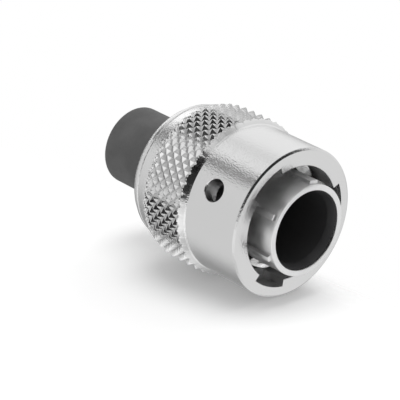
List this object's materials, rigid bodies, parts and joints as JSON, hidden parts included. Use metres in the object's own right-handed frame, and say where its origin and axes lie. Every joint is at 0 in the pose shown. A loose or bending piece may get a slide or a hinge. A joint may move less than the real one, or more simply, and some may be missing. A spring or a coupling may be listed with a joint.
{
  "type": "bayonet circular connector",
  "caption": "Round cable plug: keyed open barrel with recessed pins, knurled spring-loaded coupling nut with bayonet grooves and sight holes, rubber cable sleeve behind.",
  "frame": {"origin": "on the connector's axis, in the plane of the barrel rim that it stands on", "axes": "+Z along the axis from the mating end to the cable end, +Y towards the master key of the barrel, +X to complete a right-handed frame"},
  "size_m": [0.0218, 0.0218, 0.0336],
  "materials": {
    "satin_nickel": "satin nickel plate on turned aluminium",
    "bright_nickel": "bright nickel plate on turned aluminium",
    "spring_steel": "stainless spring steel",
    "gold_plate": "gold plate on machined copper alloy",
    "black_insulator": "moulded, matte",
    "black_rubber": "moulded rubber, matte",
    "grey_rubber": "moulded dark grey rubber, matte"
  },
  "bodies": {
    "plug": {"plug_shell": "bright_nickel", "joint_gasket": "black_rubber", "front_insulator": "black_insulator", "rear_insulator": "black_insulator", "insert_ring": "spring_steel", "grommet": "grey_rubber", "contact_a": "gold_plate", "contact_b": "gold_plate", "contact_c": "gold_plate", "contact_d": "gold_plate", "contact_e": "gold_plate", "contact_f": "gold_plate", "retaining_ring": "spring_steel", "ferrule": "bright_nickel", "rubber_sleeve": "grey_rubber", "end_nut": "satin_nickel", "seal_ring": "black_rubber", "wave_spring": "spring_steel"},
    "spring_seat": {"thrust_washer": "spring_steel"},
    "coupling": {"coupling_nut": "satin_nickel"}
  },
  "joints": [
    {"name": "coupling_float", "type": "slide", "parent": "plug", "child": "spring_seat", "axis": [0, 0, -1], "range_m": [0, 0.0007], "stiffness_N_per_m": 2000, "springref_m": -0.001, "deforming": ["wave_spring"]},
    {"name": "coupling_turn", "type": "hinge", "parent": "spring_seat", "child": "coupling", "pos_m": [0, 0, 0.0164], "axis": [0, 0, 1], "continuous": true}
  ]
}
